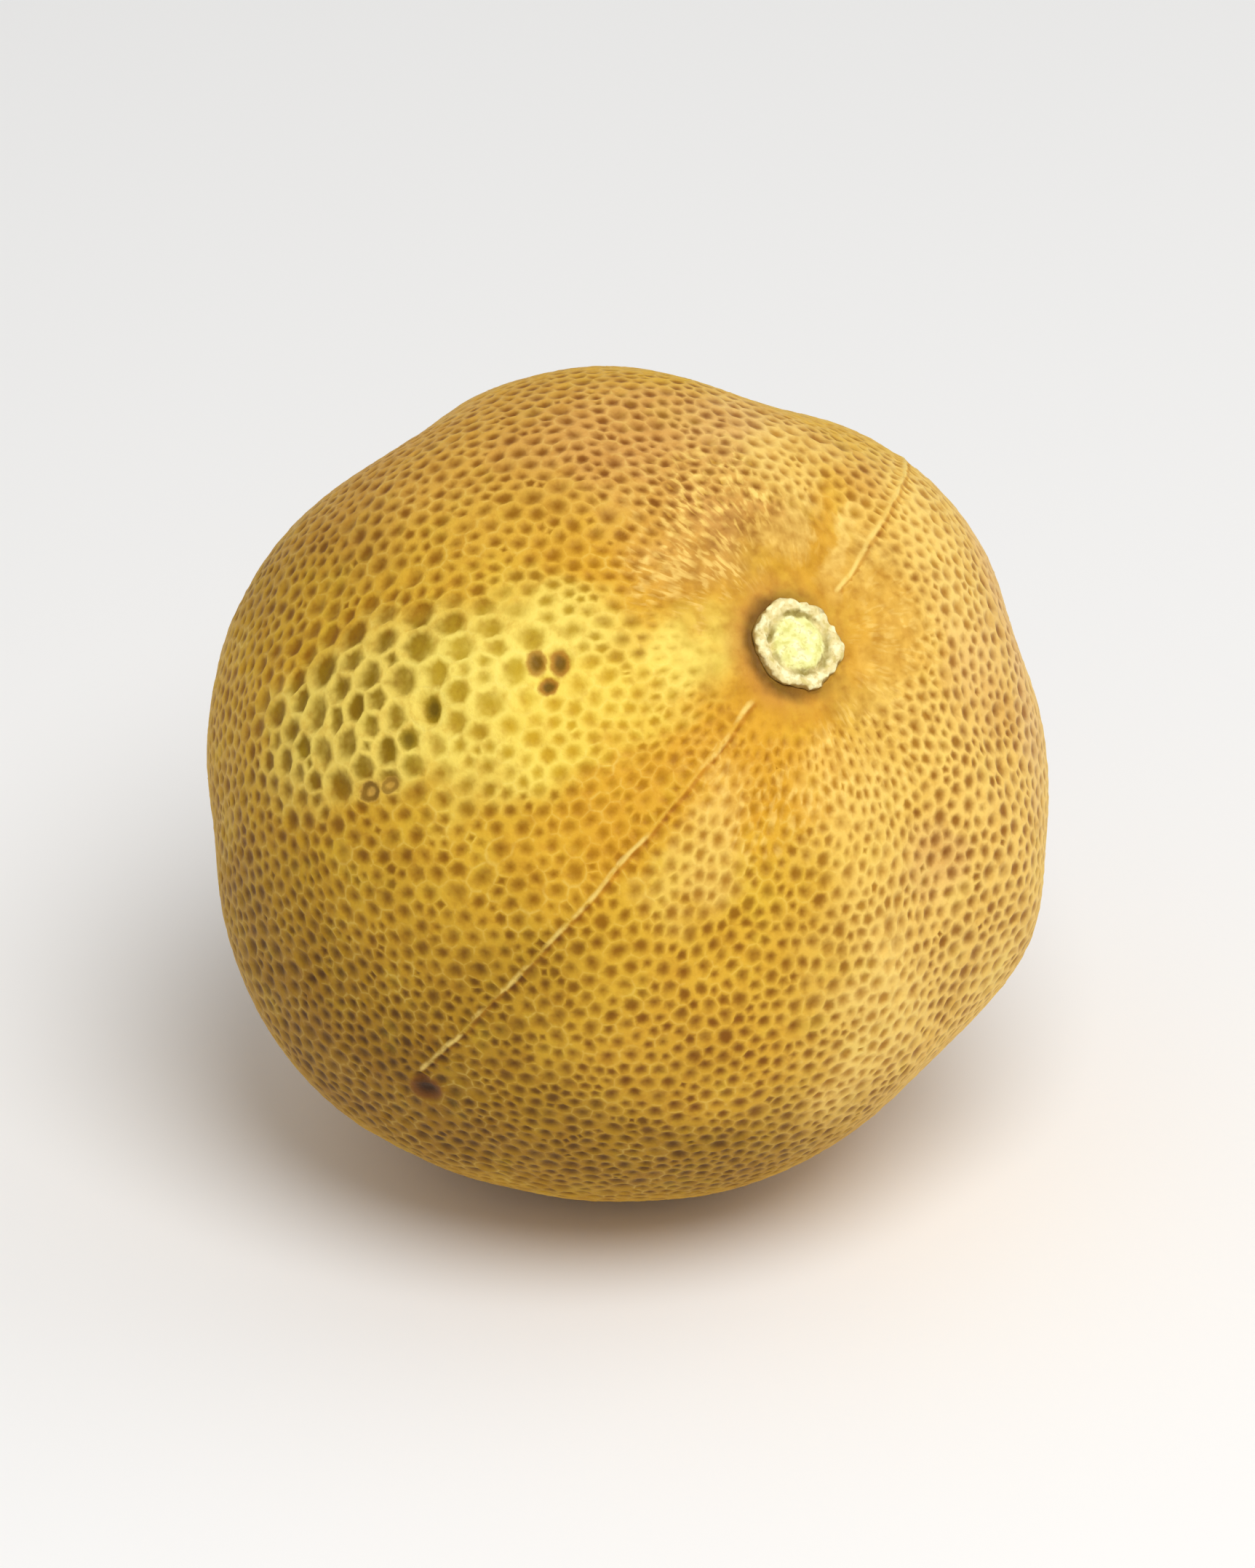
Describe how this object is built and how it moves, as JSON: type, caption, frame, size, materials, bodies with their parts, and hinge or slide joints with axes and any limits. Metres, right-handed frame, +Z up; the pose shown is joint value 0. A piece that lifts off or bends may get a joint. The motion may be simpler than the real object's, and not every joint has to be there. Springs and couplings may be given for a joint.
{
  "type": "dried lime",
  "caption": "Whole dried lime: a near-round leathery fruit with soft ribs, a net of ridges round its pits, and a woody stem button, lying on a small flat spot.",
  "frame": {"origin": "on the ground, under the middle of the fruit's box", "axes": "+Z up; -Y towards the viewer of the picture and +X to that viewer's right; the stem axis leans 45 degrees from +Z towards the front right"},
  "size_m": [0.034, 0.034, 0.0333],
  "materials": {
    "dried_rind": "dry satin rind, golden to olive brown, with darker pits between pale ridges",
    "woody_button": "matt, crumbly, pale cream"
  },
  "bodies": {
    "root": {"fruit": "dried_rind", "stem_button": "woody_button"}
  },
  "joints": []
}
